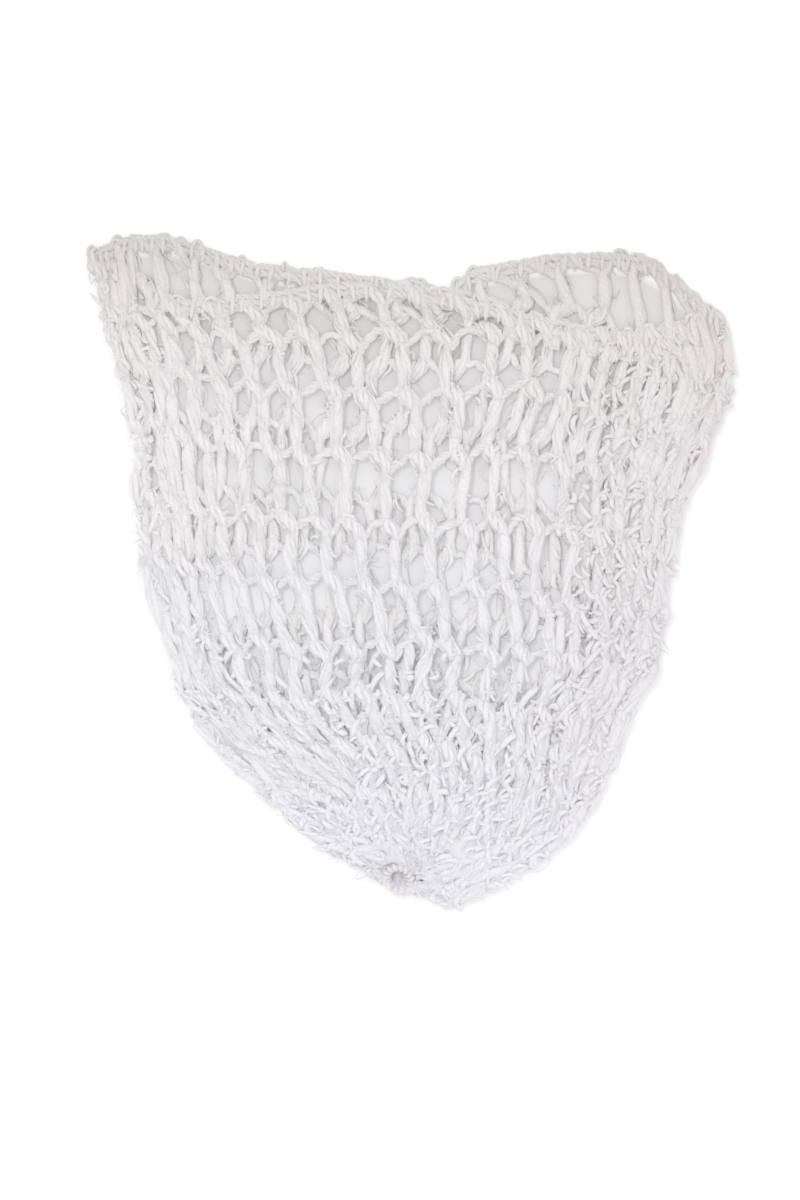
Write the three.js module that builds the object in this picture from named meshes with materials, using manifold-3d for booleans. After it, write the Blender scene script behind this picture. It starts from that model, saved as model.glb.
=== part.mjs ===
// Crocheted hair snood in white cotton, lying flat: a net bag worked in rounds from a
// small start ring (towards -Y) to a close-worked rim round its open mouth (towards +Y).
// Millimetres, +Z up, the floor it lies on is z = 0, and the bag is two layers: the upper
// one is called front, the one on the floor back. Both hold a low hollow between them.
import * as THREE from "three";
import Module from "manifold-3d";

// ---- driving dimensions -------------------------------------------------------------
const POSTS = 36; // upright stitches in each full round
const ROUNDS = 11; // rounds of net from the start ring to the rim
const POSTS_JOINED = { 1: 3, 2: 2 }; // near the ring a mesh spans this many posts
const WALL = 3.2; // thickness of the worked yarn
const POST_WIDTH = 3.8; // one upright stitch, side to side
const CHAIN_HEIGHT = 3.6; // the chain across the top of a mesh, up and down
const CHAIN_SLOPE = 0.12; // how far a chain climbs across its mesh, part of its round
const WIDEST_BORDER = 0.33; // a border never takes more than this part of a mesh
const GAP = 0.3; // clearance between neighbouring pieces
const FOLD_GAP = 0.28; // the least that is cut clear where the rim turns at a side fold

const RIM_HEIGHT = 5.4; // the close-worked rim, along the net
const RIM_THICKNESS = 3.6;
const RIM_CHAMFER = 1.0;
const RIM_STEPS_A_POST = 2; // sections of the rim for each post below it

const RING_CENTRE = new THREE.Vector3(-4, -122, 7); // of the start ring
const RING_RADIUS = 4.8; // to the middle of its cord
const RING_CORD = 1.7; // half its cord's thickness
const RING_SIDES = 12;
const RING_STEPS = 36;
const RING_TILT = THREE.MathUtils.degToRad(35); // how far it leans out of the bag
const NET_START_RADIUS = 8; // the net's first edge, round the ring

const EDGE_GATHER = 0.45; // 0 spreads the posts evenly, 1 bunches them at the folds
const POST_PHASE = 0.25; // at the rim, posts start this part of a mesh past the left fold
const LEAN = 0.35; // part of a mesh that the posts turn to the right, each round down
const FOLD_SHARE = 0.4; // height of the side folds, part of the bag's height there
const FOLD_REACH = 16; // the layer on the floor turns up only this near a fold
const BELLY_ROUNDNESS = 0.36; // below 0.5 gives a flat top with rounded sides

// Sections: one row per finished round. left/right are the side folds; the other columns
// say how far the round rises above the straight line between them, at a quarter, half
// and three quarters of the way across; top is the height of the upper layer.
const SECTION_COLUMNS = [
  "leftX", "leftY", "rightX", "rightY",
  "frontQuarter", "frontMiddle", "frontThreeQuarter",
  "backQuarter", "backMiddle", "backThreeQuarter", "top",
];
const SECTIONS = {
  1: [-35, -110.5, 24, -134, 10, 15, 15, 9, 14, 14, 12.5],
  2: [-58.5, -91, 57, -118, 10, 15, 13.5, 11, 17, 14, 13.5],
  3: [-79, -71, 80, -92.5, 6, 11, 7, 8, 13, 8, 14.5],
  4: [-92.5, -50, 92.5, -60, 0.5, 3.5, -1, 4, 7, 2, 15],
  5: [-101, -25, 102, -37, -2, 2, -1, 3, 5, 3, 15.5],
  6: [-109, 4, 105, -16, -3.5, 0, 0, 3, 4, 5, 15.5],
  7: [-111.5, 29, 108.5, 6, -2, 1, 4.5, 2, 4, 8, 15.5],
  8: [-114, 59, 112.5, 30, -5, 0.5, 7, 2, 5, 12, 15],
  9: [-119, 82, 122.5, 50.5, -2, 3.5, 11, 4.5, 8, 16, 14.5],
  10: [-127, 104, 131.5, 74, -4.5, 6, 12, 9, 9, 20, 14],
  11: [-130, 128, 127, 103, -16.5, -6.5, -15, -3.5, -4.5, 12, 13.5],
};

// The mouth: how far the rim's line rises above the straight line between its two ears,
// one row per eighth of the way across, for the upper and for the lower layer.
const MOUTH_COLUMNS = ["front", "back"];
const MOUTH = [
  [0, 0],
  [-20.5, 3.2],
  [-16.5, -3.3],
  [-9.5, -4],
  [-6.5, -4.5],
  [-10.5, 4],
  [-15, 12],
  [-15.5, 13.5],
  [0, 0],
];

// ---- the bag's middle surface -------------------------------------------------------
const HALF_WALL = WALL / 2;

/** Smooth curve through values at 0, 1, 2, ... read at any place between them. */
function curveThrough(values, at) {
  const last = values.length - 1;
  const i = Math.min(Math.max(Math.floor(at), 0), last - 1);
  const f = at - i;
  const before = values[Math.max(i - 1, 0)];
  const after = values[Math.min(i + 2, last)];
  const startSlope = (values[i + 1] - before) / 2;
  const endSlope = (after - values[i]) / 2;
  const rise = values[i + 1] - values[i];
  return values[i] + f * startSlope + f * f * (3 * rise - 2 * startSlope - endSlope)
    + f * f * f * (startSlope + endSlope - 2 * rise);
}

function section(name, round) {
  const column = SECTION_COLUMNS.indexOf(name);
  return curveThrough(Object.values(SECTIONS).map((row) => row[column]), round - 1);
}

function mouthRise(layer, across) {
  const column = MOUTH_COLUMNS.indexOf(layer);
  return curveThrough(MOUTH.map((row) => row[column]), across * (MOUTH.length - 1));
}

/** 0 at the left fold, 1 at the right fold; around goes 0..1 over the front and back. */
function acrossAt(around) {
  const way = around < 0.5 ? 2 * around : 2 * (1 - around);
  return THREE.MathUtils.lerp(way, (1 - Math.cos(Math.PI * way)) / 2, EDGE_GATHER);
}

/** A round's loop: front from the left fold to the right one, then the back. */
function roundPoint(around, round) {
  const layer = around < 0.5 ? "front" : "back";
  const across = acrossAt(around);
  const leftX = section("leftX", round) + HALF_WALL;
  const rightX = section("rightX", round) - HALF_WALL;
  const bow = [0, ...["Quarter", "Middle", "ThreeQuarter"].map((n) => section(layer + n, round)), 0];
  const toRim = THREE.MathUtils.smoothstep(round, ROUNDS - 1, ROUNDS);
  const rise = THREE.MathUtils.lerp(curveThrough(bow, 4 * across), mouthRise(layer, across), toRim);
  const x = THREE.MathUtils.lerp(leftX, rightX, across);
  const y = THREE.MathUtils.lerp(section("leftY", round), section("rightY", round), across) + rise;
  const top = section("top", round) - HALF_WALL;
  const fold = HALF_WALL + FOLD_SHARE * (top - HALF_WALL);
  if (layer === "front") {
    return new THREE.Vector3(x, y, fold + (top - fold) * (4 * across * (1 - across)) ** BELLY_ROUNDNESS);
  }
  const fromFold = Math.min(across, 1 - across) * (rightX - leftX);
  const quarterTurn = Math.sqrt(1 - (1 - Math.min(fromFold / FOLD_REACH, 1)) ** 2);
  return new THREE.Vector3(x, y, fold - (fold - HALF_WALL) * quarterTurn);
}

// The start ring's plane: sideways along the first round, inwards up into the bag.
const sideways = new THREE.Vector3(
  section("rightX", 1) - section("leftX", 1), section("rightY", 1) - section("leftY", 1), 0,
).normalize();
const outwards = new THREE.Vector3(sideways.y, -sideways.x, 0);
const inwards = outwards.clone().multiplyScalar(-Math.cos(RING_TILT)).setZ(Math.sin(RING_TILT));

/** The net's first edge, a circle round the start ring. */
function firstEdge(around) {
  const angle = 2 * Math.PI * around;
  return RING_CENTRE.clone()
    .addScaledVector(sideways, -NET_START_RADIUS * Math.cos(angle))
    .addScaledVector(inwards, NET_START_RADIUS * Math.sin(angle));
}

/** Middle surface of the net: around 0..1, round 0 (the ring) .. ROUNDS (the rim). */
function netPoint(around, round) {
  const turn = around - Math.floor(around);
  if (round >= 1) return roundPoint(turn, round);
  return firstEdge(turn).lerp(roundPoint(turn, 1), round);
}

const AROUND_STEP = 1e-3;
const ROUND_STEP = 1e-2;

/** Point, outward normal and direction towards the rim, by small steps on the surface. */
function netFrame(around, round) {
  const low = Math.max(round - ROUND_STEP, 0);
  const high = Math.min(round + ROUND_STEP, ROUNDS);
  const alongRound = netPoint(around + AROUND_STEP, round).sub(netPoint(around - AROUND_STEP, round));
  const toRim = netPoint(around, high).sub(netPoint(around, low)).normalize();
  const normal = alongRound.clone().cross(toRim).normalize();
  return { point: netPoint(around, round), normal, toRim };
}

// ---- the net: a wall with a hole for every mesh --------------------------------------
/** Where a post's line crosses a round: the posts wind slowly round the bag. */
function aroundOf(post, round) {
  return (post + POST_PHASE + LEAN * (ROUNDS - round)) / POSTS;
}

class WallBuilder {
  constructor() {
    this.positions = [];
    this.triangles = [];
    this.seen = new Map();
  }

  /** Index of the outer and inner vertex at a place on the middle surface. */
  pair(key, around, round) {
    if (!this.seen.has(key)) {
      const { point, normal } = netFrame(around, round);
      const outer = point.clone().addScaledVector(normal, HALF_WALL);
      const inner = point.clone().addScaledVector(normal, -HALF_WALL);
      const first = this.positions.length / 3;
      for (const p of [outer, inner]) this.positions.push(p.x, p.y, Math.max(p.z, 0));
      this.seen.set(key, [first, first + 1]);
    }
    return this.seen.get(key);
  }

  /** A triangle on the outer skin and its twin, turned round, on the inner skin. */
  skin(a, b, c) {
    this.triangles.push(a[0], b[0], c[0], c[1], b[1], a[1]);
  }

  /** Wall between the two skins along an edge that the outer skin runs from b to a. */
  edge(a, b) {
    this.triangles.push(a[0], b[0], b[1], a[0], b[1], a[1]);
  }

  /** Skin between a mesh's border and one side of its hole. */
  side(border, holeStart, holeEnd) {
    const turn = Math.ceil((border.length - 1) / 2);
    for (let i = 0; i < turn; i++) this.skin(border[i], border[i + 1], holeStart);
    this.skin(border[turn], holeEnd, holeStart);
    for (let i = turn; i < border.length - 1; i++) this.skin(border[i], border[i + 1], holeEnd);
  }
}

function addMesh(wall, round, post, span) {
  const corner = (i, k) => wall.pair(`${i % POSTS},${k}`, aroundOf(i, k), k);
  const steps = round === ROUNDS ? RIM_STEPS_A_POST : 1;
  const row = (k, split = 1) =>
    Array.from({ length: span * split + 1 }, (_, n) => corner(post + n / split, k));
  const middle = round - 0.5;
  const pointAt = (along, k) => netPoint(aroundOf(post + along * span, k), k);
  const width = pointAt(0, middle).distanceTo(pointAt(1, middle));
  const height = pointAt(0.5, round - 1).distanceTo(pointAt(0.5, round));
  const beside = Math.min(POST_WIDTH / 2 / width, WIDEST_BORDER);
  const above = Math.min(CHAIN_HEIGHT / 2 / height, WIDEST_BORDER);
  const hole = [[beside, above], [1 - beside, above], [1 - beside, 1 - above],
    [beside, 1 - above - CHAIN_SLOPE]].map(([u, v], n) =>
    wall.pair(`hole ${round},${post},${n}`, aroundOf(post + u * span, round - 1 + v), round - 1 + v));
  const below = row(round - 1);
  const over = row(round, steps).reverse();
  wall.side(below, hole[0], hole[1]);
  wall.side([below.at(-1), over[0]], hole[1], hole[2]);
  wall.side(over, hole[2], hole[3]);
  wall.side([over.at(-1), below[0]], hole[3], hole[0]);
  hole.forEach((h, n) => wall.edge(h, hole[(n + 1) % hole.length]));
  const openEdge = round === 1 ? below : round === ROUNDS ? over : [];
  for (let n = 1; n < openEdge.length; n++) wall.edge(openEdge[n], openEdge[n - 1]);
}

function netWall() {
  const wall = new WallBuilder();
  for (let round = 1; round <= ROUNDS; round++) {
    const span = POSTS_JOINED[round] ?? 1;
    for (let post = 0; post < POSTS; post += span) addMesh(wall, round, post, span);
  }
  return { vertProperties: new Float32Array(wall.positions), triVerts: new Uint32Array(wall.triangles) };
}

// ---- a closed loop of sections, for the rim and the ring -----------------------------
function loopOfSections(sections) {
  const sides = sections[0].length;
  const positions = sections.flatMap((ring) => ring.flatMap((p) => [p.x, p.y, p.z]));
  const triangles = [];
  for (let i = 0; i < sections.length; i++) {
    const next = (i + 1) % sections.length;
    for (let j = 0; j < sides; j++) {
      const [a, b] = [i * sides + j, i * sides + (j + 1) % sides];
      const [c, d] = [next * sides + (j + 1) % sides, next * sides + j];
      triangles.push(a, b, c, a, c, d);
    }
  }
  return { vertProperties: new Float32Array(positions), triVerts: new Uint32Array(triangles) };
}

/** The rim: a chamfered strip standing on the net's last round, grown when asked. */
function rimLoop(clearance) {
  const [low, high, t] = [-clearance, RIM_HEIGHT + clearance, RIM_THICKNESS / 2 + clearance];
  const c = RIM_CHAMFER;
  const outline = [[low, c - t], [low + c, -t], [high - c, -t], [high, c - t],
    [high, t - c], [high - c, t], [low + c, t], [low, t - c]];
  const sections = Array.from({ length: POSTS * RIM_STEPS_A_POST }, (_, n) => {
    const { point, normal, toRim } = netFrame(aroundOf(n / RIM_STEPS_A_POST, ROUNDS), ROUNDS);
    return outline.map(([along, out]) => {
      const p = point.clone().addScaledVector(toRim, GAP + along).addScaledVector(normal, out);
      return p.setZ(Math.max(p.z, 0));
    });
  });
  return loopOfSections(sections);
}

/** The start ring: a torus in its tilted plane, grown by a clearance when asked. */
function ringLoop(clearance) {
  const face = inwards.clone().cross(sideways);
  const sections = Array.from({ length: RING_STEPS }, (_, n) => {
    const angle = (2 * Math.PI * n) / RING_STEPS;
    const out = sideways.clone().multiplyScalar(Math.cos(angle)).addScaledVector(inwards, Math.sin(angle));
    return Array.from({ length: RING_SIDES }, (_, m) => {
      const turn = (2 * Math.PI * m) / RING_SIDES;
      return RING_CENTRE.clone()
        .addScaledVector(out, RING_RADIUS + (RING_CORD + clearance) * Math.cos(turn))
        .addScaledVector(face, (RING_CORD + clearance) * Math.sin(turn));
    });
  });
  return loopOfSections(sections);
}

// ---- cutting, and the assembly -------------------------------------------------------
const wasm = await Module();
wasm.setup();

function solid(loop) {
  return new wasm.Manifold(new wasm.Mesh({ numProp: 3, ...loop }));
}

function geometry(body) {
  const mesh = body.getMesh();
  const shape = new THREE.BufferGeometry();
  shape.setAttribute("position", new THREE.BufferAttribute(mesh.vertProperties, 3));
  shape.setIndex(new THREE.BufferAttribute(mesh.triVerts, 1));
  shape.computeVertexNormals();
  return shape;
}

const cotton = { roughness: 0.95, metalness: 0 };
const netCotton = new THREE.MeshStandardMaterial({ color: 0xe6e4e5, ...cotton });
const ringCotton = new THREE.MeshStandardMaterial({ color: 0xdedcdf, ...cotton });
const rimCotton = new THREE.MeshStandardMaterial({ color: 0xe2dfdd, ...cotton });

const snood = new THREE.Group();
function addPiece(name, body, material) {
  const piece = new THREE.Mesh(geometry(body), material);
  piece.name = name;
  snood.add(piece);
}

const net = solid(netWall()).subtract(solid(ringLoop(GAP))).subtract(solid(rimLoop(FOLD_GAP)));
addPiece("net_bag", net, netCotton);
addPiece("rim_band", solid(rimLoop(0)), rimCotton);
addPiece("crown_ring", solid(ringLoop(0)), ringCotton);

// The origin is on the floor under the middle of the whole snood.
const middle = new THREE.Box3().setFromObject(snood).getCenter(new THREE.Vector3());
snood.position.set(-middle.x, -middle.y, 0);

export default snood;
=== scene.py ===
"""A hair snood crocheted in white cotton, lying flat on a pale table.

Every strand of the yarn is a tube carried along its own path. The paths are worked out on the
bag's middle surface: around runs 0..1 from the left side fold over the upper layer to the right
fold and back under, and a round is 0 at the start ring and 11 at the rim. Lengths are in
millimetres until a mesh is made, and then in metres in the shared frame.
"""

import bpy
import numpy as np
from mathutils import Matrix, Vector


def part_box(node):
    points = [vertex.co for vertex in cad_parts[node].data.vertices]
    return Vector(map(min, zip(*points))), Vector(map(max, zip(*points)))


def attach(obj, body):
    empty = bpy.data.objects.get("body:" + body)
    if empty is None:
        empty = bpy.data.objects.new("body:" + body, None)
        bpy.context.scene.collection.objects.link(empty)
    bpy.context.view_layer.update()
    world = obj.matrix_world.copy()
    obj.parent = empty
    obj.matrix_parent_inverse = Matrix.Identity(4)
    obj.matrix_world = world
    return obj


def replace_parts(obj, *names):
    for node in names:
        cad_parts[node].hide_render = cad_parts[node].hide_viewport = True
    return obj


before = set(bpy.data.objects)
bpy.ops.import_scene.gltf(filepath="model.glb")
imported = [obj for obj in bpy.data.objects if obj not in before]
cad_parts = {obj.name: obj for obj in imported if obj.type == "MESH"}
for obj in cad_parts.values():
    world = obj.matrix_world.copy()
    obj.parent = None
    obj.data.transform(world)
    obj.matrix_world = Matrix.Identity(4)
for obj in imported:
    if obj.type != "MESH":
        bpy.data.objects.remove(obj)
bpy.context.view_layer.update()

MM = 0.001
SEED = 20

# ---- the bag's driving sizes, the same as the solids' ----
POSTS = 36                # upright stitches in a round
ROUNDS = 11
POSTS_JOINED = {1: 2}     # in the first round a mesh spans two stitches
WALL = 3.2
HALF_WALL = WALL / 2
RIM_GAP = 0.3
RIM_HEIGHT = 5.4
RIM_THICKNESS = 3.6
RING_CENTRE = np.array([-4.0, -122.0, 7.0])
RING_RADIUS = 4.8
RING_CORD = 1.7
RING_TILT = np.radians(35)
NET_START_RADIUS = 8.0
EDGE_GATHER = 0.45        # how strongly the columns draw together at the folds
POST_PHASE = 0.25
FOLD_SHARE = 0.4          # the folds lie this part of the way up to the top
FOLD_REACH = 16.0         # and the under layer turns up to them over this width
BELLY_ROUNDNESS = 0.36
TURNED = np.array([7.2, 6.5, 4.7, 3.3, 2.45, 2.1, 1.75, 1.4, 1.05, 0.7, 0.35, 0])

SECTION_COLUMNS = (
    "leftX", "leftY", "rightX", "rightY",
    "frontQuarter", "frontMiddle", "frontThreeQuarter",
    "backQuarter", "backMiddle", "backThreeQuarter", "top",
)
SECTIONS = np.array([
    [-35, -110.5, 24, -134, 10, 15, 15, 9, 14, 14, 12.5],
    [-58.5, -91, 57, -118, 10, 15, 13.5, 11, 17, 14, 13.5],
    [-79, -71, 80, -92.5, 6, 11, 7, 8, 13, 8, 14.5],
    [-92.5, -50, 92.5, -60, 0.5, 3.5, -1, 4, 7, 2, 15],
    [-101, -25, 102, -37, -2, 2, -1, 3, 5, 3, 15.5],
    [-109, 4, 105, -16, -3.5, 0, 0, 3, 4, 5, 15.5],
    [-111.5, 29, 108.5, 6, -2, 1, 4.5, 2, 4, 8, 15.5],
    [-114, 59, 112.5, 30, -5, 0.5, 7, 2, 5, 12, 15],
    [-119, 82, 122.5, 50.5, -2, 3.5, 11, 4.5, 8, 16, 14.5],
    [-127, 104, 131.5, 74, -4.5, 6, 12, 9, 9, 20, 14],
    [-130, 128, 127, 103, -16.5, -6.5, -15, -3.5, -4.5, 12, 13.5],
])
MOUTH_FRONT = np.array([0, -20.5, -16.5, -9.5, -6.5, -10.5, -15, -15.5, 0])
MOUTH_BACK = np.array([0, 3.2, -3.3, -4, -4.5, 4, 12, 13.5, 0])

# ---- how the yarn lies in the solids' wall ----
SLACK = 8.2               # the upper layer hangs this much under the wall's middle
SLACK_LOW = 7.2           # and this much in the first rounds
SLACK_CHANGES = 3, 6      # from one to the other between these rounds
BACK_SLIP = 7.0           # the under layer has slipped this far towards the mouth
SLIP_GROWS = 2, 5         # more and more between these rounds,
SLIP_ENDS = ROUNDS, ROUNDS - 2    # but not at the rim
LEFT_IN = 2.0             # at the folds the yarn's middle lies this far inside the wall's
RIGHT_IN = 2.2
LOW_RIGHT_IN = 2.5        # further in, and higher, at the right of the first rounds:
LOW_RIGHT_LIFT = 2.0
LOW_ROUNDS = 5.5, 3.5     # not at all in the round of the first number, in full at the second
BACK_DIP = 6.0            # the rim dips behind the middle of the mouth
BACK_DIP_AT = 0.565       # so far across from the left fold
BACK_DIP_WIDE = 0.03      # and over so much of the way across
CORNER_ROUNDS = 1.5       # so many rounds under the rim the mouth's corners begin to be rounded,
CORNER_REACH = 18.0, 30.0 # left and right over this much,
CORNER_IN = 0.5           # by drawing the yarn in
CORNER_DROP = 6.0, 6.5    # and down
CORNER_POWER = 1.6        # the more, the nearer to the corner it keeps

# ---- the yarn ----
STRAND = 0.95             # half the thickness of one strand
SIDES = 5                 # corners of a strand's section
END_TAPER = 0.4           # a strand's open ends are this part as thick
PLY_STAGGER = 7.3         # each strand's plies start so many millimetres after the last one's
LOOSENESS = 1.8           # how far a stitch strays from its place, side to side
SAG = 2.4                 # and along its column


# ---- the bag's middle surface ----
def curve_through(rows, at):
    """Catmull-Rom curve: cubic pieces meet rows[0], rows[1], ... at 0, 1, ..., and the slope at
    each is half the rise between its neighbours. rows may hold a column for each place in at."""
    rows = np.asarray(rows, float)
    last = len(rows) - 1
    i = np.clip(np.floor(at).astype(int), 0, last - 1)
    f = at - i

    def row(k):
        return rows[k] if rows.ndim == 1 else rows[k, np.arange(rows.shape[1])]

    here, there = row(i), row(i + 1)
    start = (there - row(np.maximum(i - 1, 0))) / 2
    end = (row(np.minimum(i + 2, last)) - here) / 2
    rise = there - here
    return here + f * start + f ** 2 * (3 * rise - 2 * start - end) + f ** 3 * (start + end - 2 * rise)


def section(name, at_round):
    return curve_through(SECTIONS[:, SECTION_COLUMNS.index(name)], at_round - 1)


def smooth_step(none, full, value):
    """0 at none and before it, 1 at full and past it, and 3f^2 - 2f^3 between. full may be the
    smaller of the two."""
    f = np.clip((value - none) / (full - none), 0, 1)
    return f * f * (3 - 2 * f)


def layer_rise(across, upper, at_round):
    """How far a round bows towards the mouth from the straight line between its folds: a curve
    through its quarter points, and in the last round through the mouth's eighths, with a dip
    like a bell in the back rim. The under layer has slipped on by a half sine across."""
    bow = [np.where(upper, section("front" + part, at_round), section("back" + part, at_round))
           for part in ("Quarter", "Middle", "ThreeQuarter")]
    fold = np.zeros_like(across)
    rise = curve_through(np.stack([fold, *bow, fold]), 4 * across)
    eighths = across * (len(MOUTH_FRONT) - 1)
    dip = BACK_DIP * np.exp(-((across - BACK_DIP_AT) / BACK_DIP_WIDE) ** 2)
    mouth = np.where(upper, curve_through(MOUTH_FRONT, eighths), curve_through(MOUTH_BACK, eighths) - dip)
    rise = rise + smooth_step(ROUNDS - 1, ROUNDS, at_round) * (mouth - rise)
    slipped = smooth_step(*SLIP_GROWS, at_round) * smooth_step(*SLIP_ENDS, at_round)
    return rise + np.where(upper, 0, BACK_SLIP * slipped * np.sin(np.pi * across))


def layer_height(across, upper, at_round, wide):
    """The upper layer is a dome, (4a(1 - a))^BELLY_ROUNDNESS above the folds, let down by its
    slack. The under layer lies on the table and turns up to each fold in a quarter ellipse."""
    top = section("top", at_round) - HALF_WALL
    fold = HALF_WALL + FOLD_SHARE * (top - HALF_WALL)
    dome = fold + (top - fold) * np.maximum(4 * across * (1 - across), 0) ** BELLY_ROUNDNESS
    from_fold = np.minimum(across, 1 - across) * wide
    quarter_turn = np.sqrt(1 - (1 - np.minimum(from_fold / FOLD_REACH, 1)) ** 2)
    slack = SLACK_LOW + (SLACK - SLACK_LOW) * smooth_step(*SLACK_CHANGES, at_round)
    return np.where(upper, dome - slack * quarter_turn, fold - (fold - HALF_WALL) * quarter_turn)


def corner_rounding(distance, reach):
    """1 at the corner and 0 from reach on: (1 - distance / reach)^CORNER_POWER."""
    return np.maximum(1 - distance / reach, 0) ** CORNER_POWER


def round_point(turn, at_round):
    """A round's closed line. Across runs from fold to fold, gathered towards both by a cosine. x
    goes straight with it, y adds the layer's rise, z is the layer's height, and the mouth's
    corners are drawn in and down."""
    upper = turn < 0.5
    way = np.where(upper, 2 * turn, 2 * (1 - turn))
    across = way + EDGE_GATHER * ((1 - np.cos(np.pi * way)) / 2 - way)
    at_rim = smooth_step(ROUNDS - CORNER_ROUNDS, ROUNDS, at_round)
    low = smooth_step(*LOW_ROUNDS, at_round)
    left = section("leftX", at_round) + HALF_WALL + LEFT_IN
    right = section("rightX", at_round) - HALF_WALL - RIGHT_IN * (1 - at_rim) - LOW_RIGHT_IN * low
    left_y = section("leftY", at_round)
    right_y = section("rightY", at_round) + LOW_RIGHT_LIFT * low
    wide = right - left
    left_corner = at_rim * corner_rounding(across * wide, CORNER_REACH[0])
    right_corner = at_rim * corner_rounding((1 - across) * wide, CORNER_REACH[1])
    x = left + across * wide + CORNER_IN * (left_corner - right_corner)
    y = left_y + across * (right_y - left_y) + layer_rise(across, upper, at_round)
    y = y - CORNER_DROP[0] * left_corner - CORNER_DROP[1] * right_corner
    return np.stack([x, y, layer_height(across, upper, at_round, wide)], -1)


def ring_plane():
    """Unit directions of the start ring's plane: sideways along the first round, inwards up
    into the bag, and square to both."""
    first = dict(zip(SECTION_COLUMNS, SECTIONS[0]))
    sideways = np.array([first["rightX"] - first["leftX"], first["rightY"] - first["leftY"], 0])
    sideways /= np.linalg.norm(sideways)
    inwards = np.cos(RING_TILT) * np.array([-sideways[1], sideways[0], 0])
    inwards[2] = np.sin(RING_TILT)
    return sideways, inwards, np.cross(inwards, sideways)


RING_SIDEWAYS, RING_INWARDS, RING_FACE = ring_plane()


def net_point(around, at_round):
    """The middle surface. Below round 1 it runs straight from a circle round the start ring."""
    turn = np.mod(around, 1)
    angle = (2 * np.pi * turn)[..., None]
    circle = RING_CENTRE + NET_START_RADIUS * (
        np.sin(angle) * RING_INWARDS - np.cos(angle) * RING_SIDEWAYS)
    body = round_point(turn, np.maximum(at_round, 1))
    return circle + np.clip(at_round, 0, 1)[..., None] * (body - circle)


def unit(vectors):
    return vectors / np.maximum(np.linalg.norm(vectors, axis=-1, keepdims=True), 1e-9)


def place(around, at_round, side=0.0, up=0.0, out=0.0):
    """Points at a place on the surface, moved side mm along the round, up mm towards the rim and
    out mm off the bag. The directions come from small steps on the surface."""
    given = np.broadcast_arrays(around, at_round, side, up, out)
    shape = given[0].shape
    around, at_round, side, up, out = (np.ravel(a).astype(float) for a in given)
    around_step, round_step = 1e-3, 1e-2
    along = unit(net_point(around + around_step, at_round) - net_point(around - around_step, at_round))
    to_rim = unit(net_point(around, np.minimum(at_round + round_step, ROUNDS))
                  - net_point(around, np.maximum(at_round - round_step, 0)))
    outward = unit(np.cross(along, to_rim))
    points = (net_point(around, at_round) + side[:, None] * along
              + up[:, None] * to_rim + out[:, None] * outward)
    return points.reshape(*shape, 3)


def shared_shift():
    """The solids' frame is the drawing's moved so that the whole stands over the origin."""
    low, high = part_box("crown_ring")
    return ((np.array(low) + np.array(high)) / 2 / MM - RING_CENTRE) * (1, 1, 0)


SHIFT = shared_shift()


# ---- strands of yarn ----
def frames_along(paths, closed):
    """Directions square to each path, turned as little as possible from step to step (two
    reflections a step). On a closed path the turn left over is shared out along it."""
    if closed:
        tangent = unit(np.roll(paths, -1, 1) - np.roll(paths, 1, 1))
    else:
        tangent = unit(np.gradient(paths, axis=1))
    count = paths.shape[1]
    least = np.eye(3)[np.argmin(np.abs(tangent[:, 0]), axis=-1)]
    beside = [unit(np.cross(tangent[:, 0], least))]
    for k in range(count if closed else count - 1):
        n = (k + 1) % count
        step = paths[:, n] - paths[:, k]
        share = 2 / np.maximum(np.sum(step * step, -1, keepdims=True), 1e-12)
        turned = beside[-1] - share * np.sum(step * beside[-1], -1, keepdims=True) * step
        heading = tangent[:, k] - share * np.sum(step * tangent[:, k], -1, keepdims=True) * step
        change = tangent[:, n] - heading
        share = 2 / np.maximum(np.sum(change * change, -1, keepdims=True), 1e-12)
        beside.append(unit(turned - share * np.sum(change * turned, -1, keepdims=True) * change))
    first = np.stack(beside[:count], 1)
    second = np.cross(tangent, first)
    if closed:
        left_over = np.arctan2(np.sum(beside[-1] * second[:, 0], -1), np.sum(beside[-1] * first[:, 0], -1))
        back = -left_over[:, None] * np.arange(count) / count
        c, s = np.cos(back)[..., None], np.sin(back)[..., None]
        first, second = c * first + s * second, c * second - s * first
    return first, second


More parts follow.
